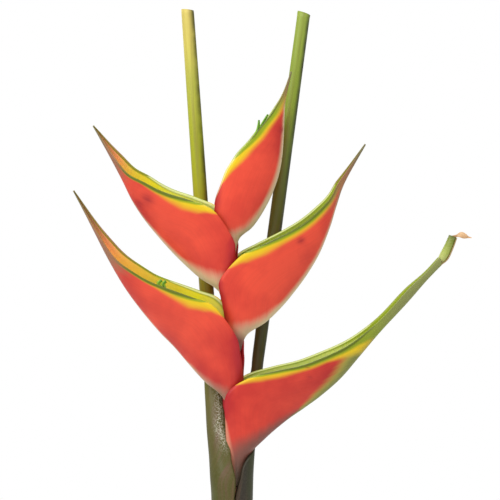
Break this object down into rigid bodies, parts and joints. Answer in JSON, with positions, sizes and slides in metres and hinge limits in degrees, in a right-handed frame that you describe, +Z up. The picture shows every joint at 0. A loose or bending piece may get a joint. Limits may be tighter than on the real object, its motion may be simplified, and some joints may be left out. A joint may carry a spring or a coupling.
{
  "type": "potted heliconia",
  "caption": "Flowering heliconia shoot with boat-shaped red and yellow bracts and cut leaf stalks, growing from a rhizome in a clay pot.",
  "frame": {"origin": "centre of the flat underside of the pot", "axes": "+Z up the stem; +X to the right, towards the lowest bract's tail; -Y towards the viewer of the flowering head's best side"},
  "size_m": [0.2475, 0.192, 0.637],
  "materials": {
    "pot_clay": "matt unglazed earthenware",
    "potting_mix": "loose damp bark and peat",
    "rhizome_skin": "corky skin",
    "scale_leaf": "dry and papery",
    "left_stalk_skin": "waxy satin skin",
    "right_stalk_skin": "waxy satin skin",
    "flower_stalk_skin": "satin skin",
    "bract_skin": "waxy satin skin, red with a yellow and green margin",
    "flower_skin": "satin skin"
  },
  "bodies": {
    "root": {"pot": "pot_clay", "potting_mix": "potting_mix", "rhizome": "rhizome_skin", "inner_scale_leaf": "scale_leaf", "outer_scale_leaf": "scale_leaf", "left_leaf_stalk": "left_stalk_skin", "right_leaf_stalk": "right_stalk_skin", "flower_stalk": "flower_stalk_skin", "bract_lower_right": "bract_skin", "bract_lower_left": "bract_skin", "bract_upper_right": "bract_skin", "bract_upper_left": "bract_skin", "bract_top": "bract_skin", "flower_top_front": "flower_skin", "flower_top_back": "flower_skin", "flower_upper_left": "flower_skin", "flower_upper_right": "flower_skin", "flower_lower_left_front": "flower_skin", "flower_lower_left_back": "flower_skin", "flower_lower_right_front": "flower_skin", "flower_lower_right_back": "flower_skin"}
  },
  "joints": []
}
